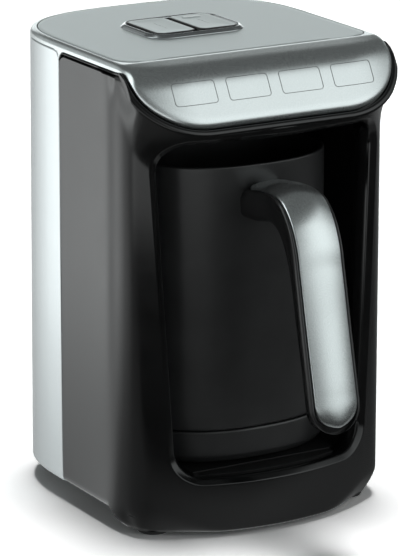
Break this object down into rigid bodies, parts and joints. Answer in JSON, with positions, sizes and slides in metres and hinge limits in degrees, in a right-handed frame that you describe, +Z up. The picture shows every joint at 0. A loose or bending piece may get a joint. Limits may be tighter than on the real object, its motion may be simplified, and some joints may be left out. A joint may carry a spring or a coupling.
{
  "type": "electric turkish coffee maker",
  "caption": "Countertop electric turkish coffee maker with a niche holding a pull-out jug, two press keys on top and a silver curved fascia.",
  "frame": {"origin": "on the ground under the centre of the whole box, feet at Z 0", "axes": "+Z up, the niche and jug handle face -Y, +X to the right seen from the front"},
  "size_m": [0.164, 0.2428, 0.2602],
  "materials": {
    "gloss_black": "gloss black housing plastic",
    "silver_shell": "satin silver lacquer",
    "satin_panel": "fine satin metal finish",
    "matte_black": "matt black moulded plastic",
    "rubber_black": "matt rubber",
    "chrome_trim": "bright plated bezel",
    "silver_inlay": "satin silver grip face",
    "steel": "plain steel",
    "brass": "bare contact metal",
    "board_green": "circuit board",
    "part_amber": "wound coil and core",
    "part_blue": "relay case",
    "pale_plastic": "pale plastic",
    "light_guide": "frosted light guide",
    "lens_dark": "dark sensor window",
    "seal_red": "silicone seal"
  },
  "bodies": {
    "housing": {"front_shell": "gloss_black", "rear_shell": "silver_shell", "base_plate": "matte_black", "niche_liner": "matte_black", "niche_floor": "matte_black", "top_cover": "silver_inlay", "top_panel": "satin_panel", "fascia_trim": "gloss_black", "button_bezel": "chrome_trim", "left_key_spring": "steel", "right_key_spring": "steel", "control_board": "board_green", "board_screws": "steel", "left_switch": "matte_black", "right_switch": "matte_black", "status_led": "pale_plastic", "buzzer": "matte_black", "sensor_housing": "matte_black", "sensor_lens": "lens_dark", "power_board": "board_green", "transformer": "part_amber", "relay": "part_blue", "capacitor": "matte_black", "heatsink": "steel", "ribbon_cable": "pale_plastic", "dock_socket": "matte_black", "dock_contacts": "brass", "inlet_grommet": "rubber_black", "terminal_block": "pale_plastic", "thermal_fuse": "steel", "foot_front_left": "rubber_black", "foot_front_right": "rubber_black", "foot_rear_left": "rubber_black", "foot_rear_right": "rubber_black", "base_screws": "steel"},
    "jug": {"jug_vessel": "gloss_black", "jug_skirt": "gloss_black", "jug_bottom": "matte_black", "jug_heater": "steel", "jug_seal": "seal_red", "jug_probe": "steel", "jug_plug": "matte_black", "jug_pins": "brass", "handle_core": "gloss_black", "handle_inlay": "silver_inlay", "handle_bracket": "steel", "handle_screws": "steel"},
    "left_key": {"left_button": "satin_panel"},
    "right_key": {"right_button": "satin_panel", "indicator_guide": "light_guide"}
  },
  "joints": [
    {"name": "jug_slide", "type": "slide", "parent": "housing", "child": "jug", "axis": [0, -1, 0], "range_m": [0, 0.13]},
    {"name": "left_button_press", "type": "slide", "parent": "housing", "child": "left_key", "axis": [0, 0, -1], "range_m": [0, 0.001], "stiffness_N_per_m": 400, "springref_m": -0.0005, "deforming": ["left_key_spring"]},
    {"name": "right_button_press", "type": "slide", "parent": "housing", "child": "right_key", "axis": [0, 0, -1], "range_m": [0, 0.001], "stiffness_N_per_m": 400, "springref_m": -0.0005, "deforming": ["right_key_spring"]}
  ]
}
